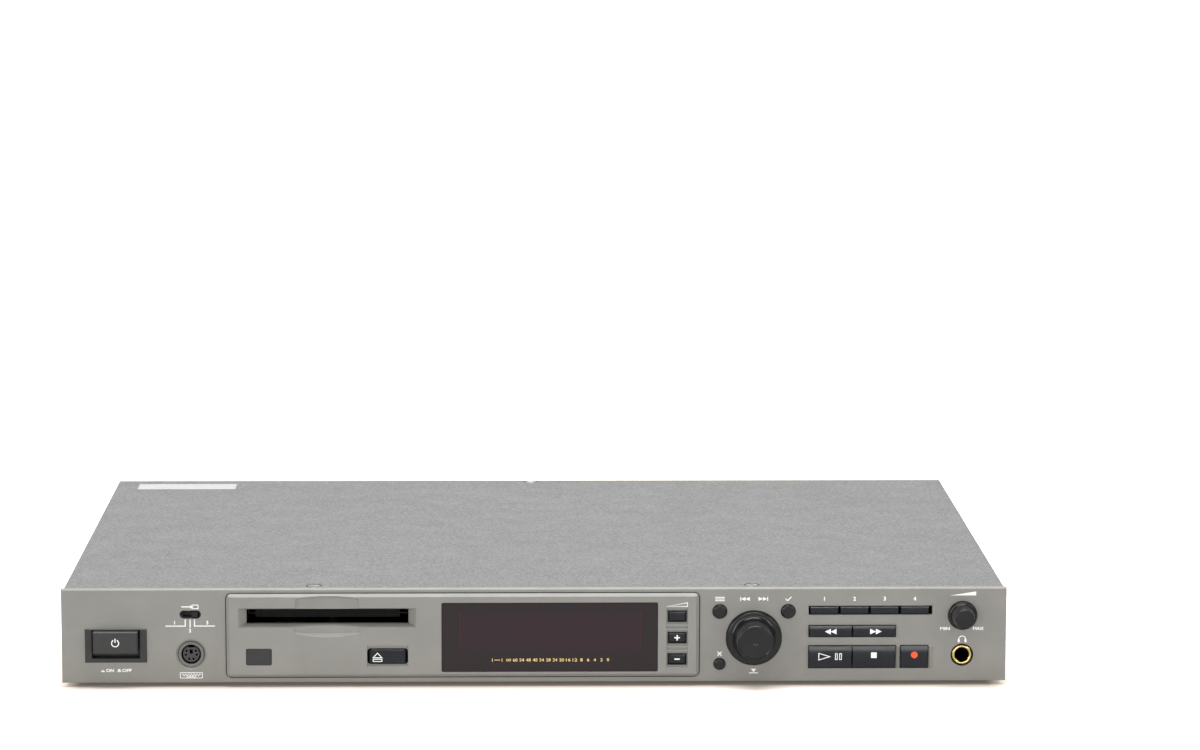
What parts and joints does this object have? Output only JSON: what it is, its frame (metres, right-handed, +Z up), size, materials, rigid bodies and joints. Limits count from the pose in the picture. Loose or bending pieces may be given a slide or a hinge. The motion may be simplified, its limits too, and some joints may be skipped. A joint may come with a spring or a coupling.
{
  "type": "minidisc deck",
  "caption": "One-unit-high slot-loading minidisc recorder deck with jog dial, transport keys, display window, headphone jack and working loading mechanism.",
  "frame": {"origin": "centre of the bounding box at the feet's undersides", "axes": "+X to the right seen from the front, +Y to the back, +Z up; the front face looks along -Y"},
  "size_m": [0.43, 0.294, 0.0456],
  "materials": {
    "panel_plastic": "fine satin moulded",
    "cover_paint": "fine textured paint",
    "smoked_window": "gloss smoked acrylic",
    "remote_lens": "satin dark acrylic",
    "dark_key": "semi-gloss",
    "dark_grip": "satin",
    "bezel_plastic": "satin",
    "black_plastic": "matt",
    "rubber_foot": "matt",
    "zinc_sheet": "zinc plated",
    "screw_steel": "plated",
    "nickel": "nickel plated",
    "gilt": "gold plated",
    "board": "solder resist",
    "supply_board": "phenolic",
    "tube_glass": "clear",
    "transformer_steel": "varnished laminations",
    "nylon": "natural",
    "gear_brass": "machined",
    "steel": "ground"
  },
  "bodies": {
    "case": {"front_panel": "panel_plastic", "centre_escutcheon": "panel_plastic", "display_window": "smoked_window", "remote_window": "remote_lens", "top_cover": "cover_paint", "chassis_pan": "zinc_sheet", "rear_panel": "zinc_sheet", "feet": "rubber_foot", "cover_screws": "screw_steel", "power_bezel": "bezel_plastic", "power_switch": "black_plastic", "keyboard_socket_shell": "nickel", "keyboard_socket_insert": "black_plastic", "left_board": "board", "dial_encoder": "black_plastic", "level_pot": "steel", "phones_jack_body": "black_plastic", "phones_jack_ring": "gilt", "ac_inlet": "black_plastic", "xlr_sockets": "black_plastic", "phono_jacks": "gilt", "remote_socket": "nickel", "control_board": "board", "phones_board": "board", "fluorescent_display": "tube_glass", "main_board": "board", "power_board": "supply_board", "power_transformer": "transformer_steel", "mech_chassis": "zinc_sheet", "mech_mounts": "rubber_foot", "mech_motors": "steel"},
    "power_button": {"power_button": "dark_grip"},
    "input_switch_knob": {"input_switch_knob": "dark_grip"},
    "slot_flap": {"slot_flap": "black_plastic"},
    "eject_button": {"eject_button": "dark_key"},
    "speed_key_mode": {"speed_key_mode": "dark_key"},
    "speed_key_plus": {"speed_key_plus": "dark_key"},
    "speed_key_minus": {"speed_key_minus": "dark_key"},
    "menu_key": {"menu_key": "dark_key"},
    "yes_key": {"yes_key": "dark_key"},
    "clear_key": {"clear_key": "dark_key"},
    "function_key_1": {"function_key_1": "dark_key"},
    "function_key_2": {"function_key_2": "dark_key"},
    "function_key_3": {"function_key_3": "dark_key"},
    "function_key_4": {"function_key_4": "dark_key"},
    "rewind_key": {"rewind_key": "dark_key"},
    "forward_key": {"forward_key": "dark_key"},
    "play_key": {"play_key": "dark_key"},
    "stop_key": {"stop_key": "dark_key"},
    "record_key": {"record_key": "dark_key"},
    "dial_plunger": {"dial_plunger": "nylon"},
    "jog_dial": {"jog_dial": "dark_grip"},
    "level_knob": {"level_knob": "dark_grip"},
    "loading_slider": {"loading_slider": "nylon"},
    "loading_gear": {"loading_gear": "nylon"},
    "motor_pinion": {"motor_pinion": "gear_brass"},
    "cartridge_holder": {"cartridge_holder": "zinc_sheet"},
    "optical_pickup": {"optical_pickup": "black_plastic"},
    "lead_screw": {"lead_screw": "steel"},
    "head_arm": {"head_arm": "steel"},
    "turntable": {"turntable": "steel"}
  },
  "joints": [
    {"name": "power_push", "type": "slide", "parent": "case", "child": "power_button", "axis": [0, 1, 0], "range_m": [0, 0.003], "stiffness_N_per_m": 500},
    {"name": "input_select", "type": "slide", "parent": "case", "child": "input_switch_knob", "axis": [1, 0, 0], "range_m": [-0.0041, 0]},
    {"name": "flap_swing", "type": "hinge", "parent": "case", "child": "slot_flap", "pos_m": [-0.09445, -0.1293, 0.0382], "axis": [1, 0, 0], "range_deg": [0, 80], "stiffness_Nm_per_rad": 0.001},
    {"name": "eject_press", "type": "slide", "parent": "case", "child": "eject_button", "axis": [0, 1, 0], "range_m": [0, 0.0008], "stiffness_N_per_m": 800},
    {"name": "speed_mode_press", "type": "slide", "parent": "case", "child": "speed_key_mode", "axis": [0, 1, 0], "range_m": [0, 0.0008], "stiffness_N_per_m": 800},
    {"name": "speed_plus_press", "type": "slide", "parent": "case", "child": "speed_key_plus", "axis": [0, 1, 0], "range_m": [0, 0.0008], "stiffness_N_per_m": 800},
    {"name": "speed_minus_press", "type": "slide", "parent": "case", "child": "speed_key_minus", "axis": [0, 1, 0], "range_m": [0, 0.0008], "stiffness_N_per_m": 800},
    {"name": "menu_press", "type": "slide", "parent": "case", "child": "menu_key", "axis": [0, 1, 0], "range_m": [0, 0.0008], "stiffness_N_per_m": 800},
    {"name": "yes_press", "type": "slide", "parent": "case", "child": "yes_key", "axis": [0, 1, 0], "range_m": [0, 0.0008], "stiffness_N_per_m": 800},
    {"name": "clear_press", "type": "slide", "parent": "case", "child": "clear_key", "axis": [0, 1, 0], "range_m": [0, 0.0008], "stiffness_N_per_m": 800},
    {"name": "function_1_press", "type": "slide", "parent": "case", "child": "function_key_1", "axis": [0, 1, 0], "range_m": [0, 0.0008], "stiffness_N_per_m": 800},
    {"name": "function_2_press", "type": "slide", "parent": "case", "child": "function_key_2", "axis": [0, 1, 0], "range_m": [0, 0.0008], "stiffness_N_per_m": 800},
    {"name": "function_3_press", "type": "slide", "parent": "case", "child": "function_key_3", "axis": [0, 1, 0], "range_m": [0, 0.0008], "stiffness_N_per_m": 800},
    {"name": "function_4_press", "type": "slide", "parent": "case", "child": "function_key_4", "axis": [0, 1, 0], "range_m": [0, 0.0008], "stiffness_N_per_m": 800},
    {"name": "rewind_press", "type": "slide", "parent": "case", "child": "rewind_key", "axis": [0, 1, 0], "range_m": [0, 0.0008], "stiffness_N_per_m": 800},
    {"name": "forward_press", "type": "slide", "parent": "case", "child": "forward_key", "axis": [0, 1, 0], "range_m": [0, 0.0008], "stiffness_N_per_m": 800},
    {"name": "play_press", "type": "slide", "parent": "case", "child": "play_key", "axis": [0, 1, 0], "range_m": [0, 0.0008], "stiffness_N_per_m": 800},
    {"name": "stop_press", "type": "slide", "parent": "case", "child": "stop_key", "axis": [0, 1, 0], "range_m": [0, 0.0008], "stiffness_N_per_m": 800},
    {"name": "record_press", "type": "slide", "parent": "case", "child": "record_key", "axis": [0, 1, 0], "range_m": [0, 0.0008], "stiffness_N_per_m": 800},
    {"name": "dial_push", "type": "slide", "parent": "case", "child": "dial_plunger", "axis": [0, 1, 0], "range_m": [0, 0.0008], "stiffness_N_per_m": 1500},
    {"name": "dial_turn", "type": "hinge", "parent": "dial_plunger", "child": "jog_dial", "pos_m": [0.0997, -0.1345, 0.0221], "axis": [0, -1, 0], "continuous": true},
    {"name": "level_turn", "type": "hinge", "parent": "case", "child": "level_knob", "pos_m": [0.195, -0.1345, 0.0323], "axis": [0, -1, 0], "range_deg": [-140, 140]},
    {"name": "loading_slide", "type": "slide", "parent": "case", "child": "loading_slider", "axis": [0, 1, 0], "range_m": [0, 0.014]},
    {"name": "loading_gear_turn", "type": "hinge", "parent": "case", "child": "loading_gear", "pos_m": [-0.14605, -0.0425, 0.0212], "axis": [0, 0, 1], "range_deg": [0, 114]},
    {"name": "pinion_turn", "type": "hinge", "parent": "case", "child": "motor_pinion", "pos_m": [-0.14605, -0.0305, 0.0212], "axis": [0, 0, 1], "range_deg": [-170, 0]},
    {"name": "holder_lift", "type": "slide", "parent": "case", "child": "cartridge_holder", "axis": [0, 0, 1], "range_m": [-0.0035, 0]},
    {"name": "sled_slide", "type": "slide", "parent": "case", "child": "optical_pickup", "axis": [1, 0, 0], "range_m": [0, 0.0165]},
    {"name": "lead_screw_turn", "type": "hinge", "parent": "case", "child": "lead_screw", "pos_m": [-0.09445, -0.0995, 0.0148], "axis": [1, 0, 0], "range_deg": [0, 1981]},
    {"name": "head_arm_drop", "type": "hinge", "parent": "optical_pickup", "child": "head_arm", "pos_m": [-0.05485, -0.0765, 0.04], "axis": [0, -1, 0], "range_deg": [0, 14.1]},
    {"name": "turntable_spin", "type": "hinge", "parent": "case", "child": "turntable", "pos_m": [-0.09445, -0.0765, 0.0212], "axis": [0, 0, 1], "continuous": true}
  ],
  "couplings": [
    {"joint": "loading_gear_turn", "follows": "loading_slide", "rad_per_m": 138.89},
    {"joint": "pinion_turn", "follows": "loading_slide", "rad_per_m": -208.33},
    {"joint": "holder_lift", "follows": "loading_slide", "ratio": -0.25},
    {"joint": "head_arm_drop", "follows": "loading_slide", "rad_per_m": 17.453},
    {"joint": "lead_screw_turn", "follows": "sled_slide", "rad_per_m": 2094.4}
  ]
}
